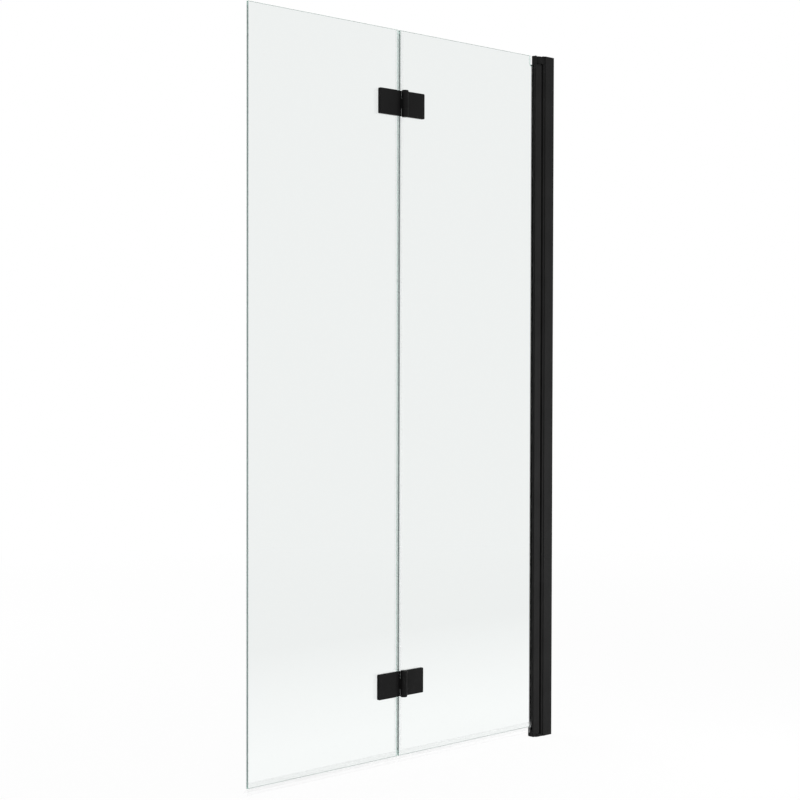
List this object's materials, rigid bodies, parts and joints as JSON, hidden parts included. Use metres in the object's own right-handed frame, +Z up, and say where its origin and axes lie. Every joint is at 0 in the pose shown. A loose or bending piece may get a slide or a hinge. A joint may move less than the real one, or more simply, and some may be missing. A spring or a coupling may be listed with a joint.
{
  "type": "folding bath screen",
  "caption": "Folding bath screen: clear glass panels joined by black hinges, with an inner panel that swings on a black wall post and clear seals along the edges.",
  "frame": {"origin": "on the wall face of the wall channel, at its bottom end and the middle of its depth, where it stands on the bath rim", "axes": "+X into the wall, -X along the closed screen to its free edge, -Y the side that the panels fold to, +Z up along the post"},
  "size_m": [0.8, 0.0307, 1.4025],
  "materials": {
    "black_profile": "satin black powder coat on extruded aluminium",
    "black_hinge": "satin black powder coat on cast metal",
    "black_moulding": "fine matt black moulding",
    "clear_glass": "clear toughened float glass, polished edges",
    "clear_seal": "clear flexible plastic",
    "black_rubber": "soft black rubber",
    "black_bush": "smooth black acetal",
    "screw_steel": "stainless steel"
  },
  "bodies": {
    "wall_post": {"wall_channel": "black_profile", "post_profile": "black_profile", "post_seal": "black_rubber", "top_bearing_arm": "black_moulding", "bottom_bearing_foot": "black_moulding", "bearing_screws": "screw_steel", "top_pivot_pin": "screw_steel", "bottom_pivot_pin": "screw_steel", "post_clamp_screws": "screw_steel", "screw_cover_caps": "black_moulding"},
    "inner_panel": {"pivot_profile": "black_profile", "glazing_gaskets": "black_rubber", "pivot_top_cap": "black_moulding", "pivot_bottom_cap": "black_moulding", "bush_set_screws": "screw_steel", "top_pivot_bush": "black_bush", "bottom_pivot_bush": "black_bush", "inner_glass": "clear_glass", "inner_bottom_seal": "clear_seal", "centre_seal": "clear_seal", "upper_hinge_fixed_leaf": "black_hinge", "upper_hinge_fixed_gaskets": "black_rubber", "upper_hinge_fixed_screws": "black_hinge", "upper_hinge_pin": "black_hinge", "lower_hinge_fixed_leaf": "black_hinge", "lower_hinge_fixed_gaskets": "black_rubber", "lower_hinge_fixed_screws": "black_hinge", "lower_hinge_pin": "black_hinge"},
    "outer_panel": {"outer_glass": "clear_glass", "outer_bottom_seal": "clear_seal", "upper_hinge_moving_leaf": "black_hinge", "upper_hinge_moving_gaskets": "black_rubber", "upper_hinge_moving_screws": "black_hinge", "upper_hinge_bushes": "black_bush", "lower_hinge_moving_leaf": "black_hinge", "lower_hinge_moving_gaskets": "black_rubber", "lower_hinge_moving_screws": "black_hinge", "lower_hinge_bushes": "black_bush"}
  },
  "joints": [
    {"name": "wall_swing", "type": "hinge", "parent": "wall_post", "child": "inner_panel", "pos_m": [-0.039, 0, 0], "axis": [0, 0, 1], "range_deg": [-90, 90]},
    {"name": "panel_fold", "type": "hinge", "parent": "inner_panel", "child": "outer_panel", "pos_m": [-0.4285, -0.0105, 0], "axis": [0, 0, 1], "range_deg": [0, 180]}
  ]
}
